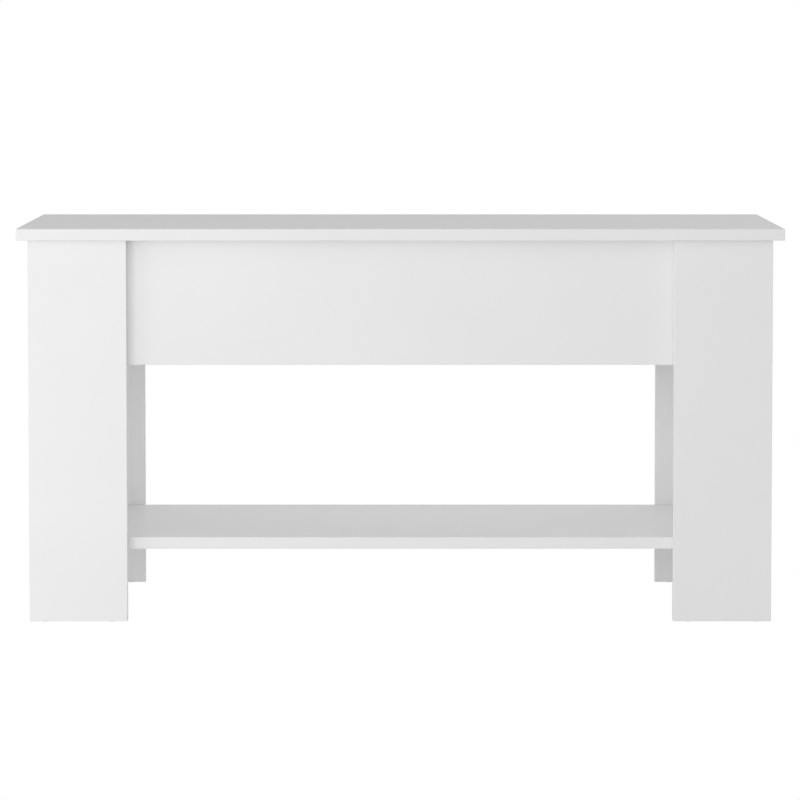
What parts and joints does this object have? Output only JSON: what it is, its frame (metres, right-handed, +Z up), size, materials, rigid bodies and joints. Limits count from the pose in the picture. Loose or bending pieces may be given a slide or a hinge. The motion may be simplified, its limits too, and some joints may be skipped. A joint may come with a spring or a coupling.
{
  "type": "lift top coffee table",
  "caption": "Rectangular coffee table in white gloss board with corner legs, an open lower shelf and a top that lifts and comes forward over a storage box.",
  "frame": {"origin": "centre of the footprint on the floor", "axes": "+X along the table's length, +Y to the back, away from the side that the top moves towards, +Z up"},
  "size_m": [0.98, 0.48, 0.505],
  "materials": {
    "white_gloss_board": "high-gloss white melamine laminate on particle board",
    "black_steel": "satin black powder coat",
    "zinc_steel": "bright zinc plate",
    "zinc_screw": "bright zinc plate",
    "zinc_cast": "die-cast zinc, dull",
    "spring_steel": "oiled spring steel",
    "nylon": "natural nylon",
    "black_rubber": "matt",
    "white_plastic": "semi gloss",
    "clear_bumper": "translucent soft pad",
    "glide_plastic": "matt",
    "dowel_wood": "bare beech"
  },
  "bodies": {
    "table": {"back_apron": "white_gloss_board", "back_left_leg_face": "white_gloss_board", "back_left_leg_side": "white_gloss_board", "back_right_leg_face": "white_gloss_board", "back_right_leg_side": "white_gloss_board", "base_pivots_left": "zinc_steel", "base_pivots_right": "zinc_steel", "base_rail_left": "black_steel", "base_rail_right": "black_steel", "base_rail_screws_left": "zinc_screw", "base_rail_screws_right": "zinc_screw", "base_washers_left": "nylon", "base_washers_right": "nylon", "cam_bolts": "zinc_steel", "cam_caps": "white_plastic", "cam_locks": "zinc_cast", "closing_bumpers": "clear_bumper", "compartment_floor": "white_gloss_board", "foot_glides": "glide_plastic", "front_apron": "white_gloss_board", "front_left_leg_face": "white_gloss_board", "front_left_leg_side": "white_gloss_board", "front_right_leg_face": "white_gloss_board", "front_right_leg_side": "white_gloss_board", "left_side_panel": "white_gloss_board", "leg_screws": "zinc_screw", "lift_spring_left": "spring_steel", "lift_spring_right": "spring_steel", "lower_shelf": "white_gloss_board", "right_side_panel": "white_gloss_board", "spring_anchor_left": "zinc_steel", "spring_anchor_right": "zinc_steel", "stop_pin_left": "zinc_steel", "stop_pin_right": "zinc_steel", "stop_sleeve_left": "black_rubber", "stop_sleeve_right": "black_rubber", "wooden_dowels": "dowel_wood"},
    "top": {"table_top": "white_gloss_board", "top_rail_left": "black_steel", "top_rail_right": "black_steel", "top_pivots_left": "zinc_steel", "top_pivots_right": "zinc_steel", "top_rail_screws_left": "zinc_screw", "top_rail_screws_right": "zinc_screw"},
    "front_arm_left": {"front_arm_left": "black_steel", "front_arm_washer_left": "nylon"},
    "rear_arm_left": {"rear_arm_left": "black_steel", "rear_arm_washer_left": "nylon", "spring_hook_pin_left": "zinc_steel"},
    "front_arm_right": {"front_arm_right": "black_steel", "front_arm_washer_right": "nylon"},
    "rear_arm_right": {"rear_arm_right": "black_steel", "rear_arm_washer_right": "nylon", "spring_hook_pin_right": "zinc_steel"}
  },
  "joints": [
    {"name": "lift", "type": "hinge", "parent": "table", "child": "front_arm_left", "pos_m": [-0.4409, -0.148, 0.448], "axis": [1, 0, 0], "range_deg": [0, 117], "deforming": ["lift_spring_left", "lift_spring_right"]},
    {"name": "front_arm_right_turn", "type": "hinge", "parent": "table", "child": "front_arm_right", "pos_m": [0.4409, -0.148, 0.448], "axis": [1, 0, 0], "range_deg": [0, 117]},
    {"name": "rear_arm_left_turn", "type": "hinge", "parent": "table", "child": "rear_arm_left", "pos_m": [-0.4409, -0.05403, 0.4138], "axis": [1, 0, 0], "range_deg": [0, 117]},
    {"name": "rear_arm_right_turn", "type": "hinge", "parent": "table", "child": "rear_arm_right", "pos_m": [0.4409, -0.05403, 0.4138], "axis": [1, 0, 0], "range_deg": [0, 117]},
    {"name": "top_level", "type": "hinge", "parent": "front_arm_left", "child": "top", "pos_m": [-0.4409, 0.05005, 0.47583], "axis": [1, 0, 0], "range_deg": [-117, 0]}
  ],
  "couplings": [
    {"joint": "top_level", "follows": "lift", "ratio": -1},
    {"joint": "front_arm_right_turn", "follows": "lift", "ratio": 1},
    {"joint": "rear_arm_left_turn", "follows": "lift", "ratio": 1},
    {"joint": "rear_arm_right_turn", "follows": "lift", "ratio": 1}
  ]
}
